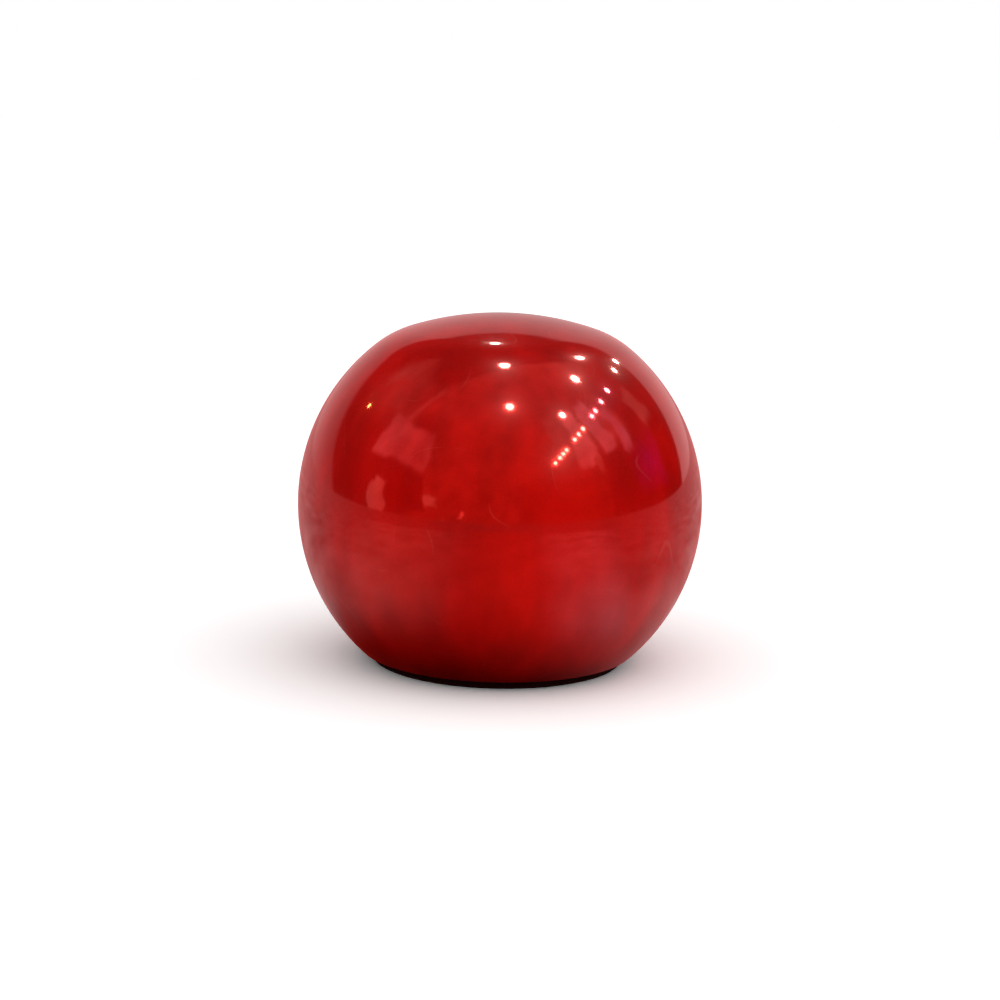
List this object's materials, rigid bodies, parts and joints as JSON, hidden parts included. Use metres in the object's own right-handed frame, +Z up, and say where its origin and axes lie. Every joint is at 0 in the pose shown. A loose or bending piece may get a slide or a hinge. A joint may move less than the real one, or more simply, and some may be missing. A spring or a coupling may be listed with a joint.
{
  "type": "croquet ball",
  "caption": "Glossy red croquet ball for display: a round ball of moulded shell cups on a cork core, with a slightly flattened crown and a flat felted foot.",
  "frame": {"origin": "centre of the felt pad's underside, where the ball rests", "axes": "+Z up through the ball's centre and the middle of its crown, which is the axis that it is turned about; X and Y are alike"},
  "size_m": [0.092, 0.092, 0.0793],
  "materials": {
    "shell": "polished gloss, deep red",
    "core": "pressed cork composition, matt",
    "felt": "pressed black wool felt"
  },
  "bodies": {
    "root": {"upper_shell": "shell", "lower_shell": "shell", "core": "core", "felt_pad": "felt"}
  },
  "joints": []
}
